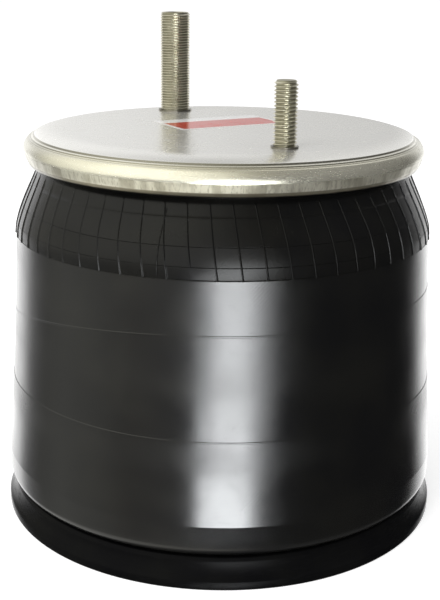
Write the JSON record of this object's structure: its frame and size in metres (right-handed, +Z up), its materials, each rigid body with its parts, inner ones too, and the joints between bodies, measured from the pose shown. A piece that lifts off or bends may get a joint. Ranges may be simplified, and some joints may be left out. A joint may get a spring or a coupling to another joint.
{
  "type": "air suspension spring",
  "caption": "Rolling-lobe air spring: rubber sleeve crimped to a steel bead plate with two studs, rolling down over a flared moulded piston with an inner bump stop.",
  "frame": {"origin": "centre of the piston's foot, on the surface it stands on", "axes": "+Z up along the spring's axis; +Y from the axis towards the tall air stud, with the short blind stud on -Y; +X square to both"},
  "size_m": [0.2614, 0.2614, 0.286],
  "materials": {
    "plate_steel": "satin plated steel, pale champagne",
    "stud_steel": "plated thread, olive champagne",
    "dark_steel": "dark spring steel",
    "sleeve_rubber": "smooth black, satin gloss",
    "bead_wire": "bronze-coated steel wire",
    "piston_plastic": "matt moulded black",
    "zinc_steel": "zinc plated",
    "insert_brass": "turned",
    "post_plastic": "moulded, dark grey",
    "bumper_rubber": "matt"
  },
  "bodies": {
    "piston_group": {"piston": "piston_plastic", "piston_hub": "piston_plastic", "piston_webs": "piston_plastic", "piston_inserts": "insert_brass", "piston_bolt": "zinc_steel", "bolt_washer": "zinc_steel", "bolt_seal": "bumper_rubber", "nut_washer": "zinc_steel", "piston_nut": "zinc_steel", "end_closure": "zinc_steel", "sleeve_neck": "sleeve_rubber", "lower_bead_wire": "bead_wire", "sleeve_inner_wall": "sleeve_rubber", "bumper_base": "post_plastic", "bumper": "bumper_rubber"},
    "lobe": {"sleeve_lobe": "sleeve_rubber"},
    "plate_group": {"bead_plate": "plate_steel", "air_stud": "stud_steel", "air_stud_ring": "dark_steel", "blind_stud": "stud_steel", "blind_stud_ring": "dark_steel", "upper_bead": "sleeve_rubber", "upper_bead_wire": "bead_wire", "sleeve_shoulder": "sleeve_rubber", "sleeve_outer_wall": "sleeve_rubber"}
  },
  "joints": [
    {"name": "plate_rise", "type": "slide", "parent": "piston_group", "child": "plate_group", "axis": [0, 0, 1], "range_m": [0, 0.18], "deforming": ["sleeve_outer_wall"]},
    {"name": "lobe_roll", "type": "slide", "parent": "piston_group", "child": "lobe", "axis": [0, 0, 1], "range_m": [0, 0.09], "deforming": ["sleeve_inner_wall"]}
  ],
  "couplings": [
    {"joint": "lobe_roll", "follows": "plate_rise", "ratio": 0.5}
  ]
}
